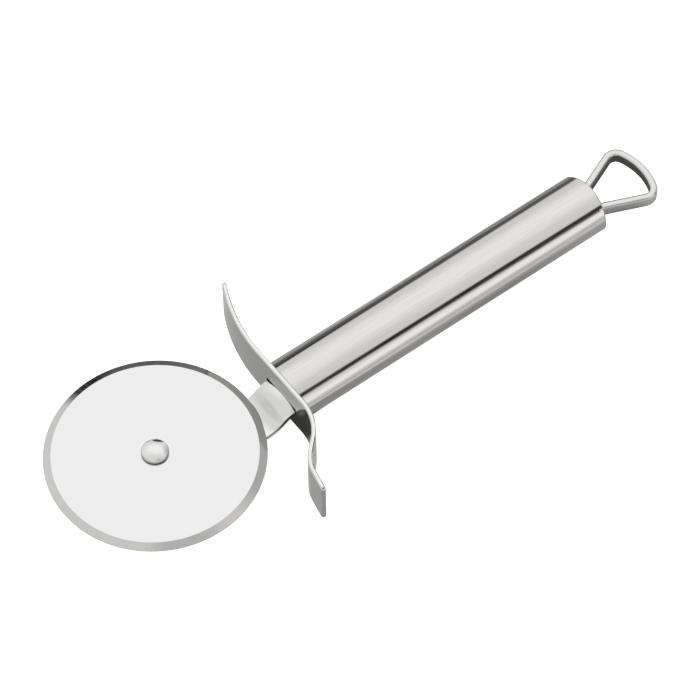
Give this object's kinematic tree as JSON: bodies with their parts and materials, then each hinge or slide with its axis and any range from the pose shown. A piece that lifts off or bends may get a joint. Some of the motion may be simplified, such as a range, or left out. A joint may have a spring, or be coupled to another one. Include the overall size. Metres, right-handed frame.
{
  "type": "pizza cutter",
  "caption": "Pizza cutter: a bevelled round blade spins on a domed rivet at the end of a cranked arm, with a bent finger guard, an oval tube handle and a hanging loop bent from strip.",
  "frame": {"origin": "On the guard's lower edge, straight below the handle's axis and in the middle of the guard's sheet, where the cutter rests when it lies on its side.", "axes": "+X runs along the handle from the guard to the hanging loop, +Z is the blade's axis and points out of the rivet's dome, and +Y is the side of the guard's finger wing."},
  "size_m": [0.2088, 0.0769, 0.0161],
  "materials": {
    "blade_steel": "finely ground, bevel with grinding marks",
    "polished_steel": "polished",
    "satin_steel": "satin",
    "plug_plastic": "moulded"
  },
  "bodies": {
    "frame": {"arm": "polished_steel", "axle_rivet": "polished_steel", "spacer_washer": "polished_steel", "finger_guard": "polished_steel", "handle_tube": "satin_steel", "tang_plug": "plug_plastic", "rear_cap": "satin_steel", "hanging_loop": "polished_steel"},
    "blade": {"blade": "blade_steel"}
  },
  "joints": [
    {"name": "blade_spin", "type": "hinge", "parent": "frame", "child": "blade", "pos_m": [-0.0408, 0.007, 0.00586], "axis": [0, 0, 1], "continuous": true}
  ]
}
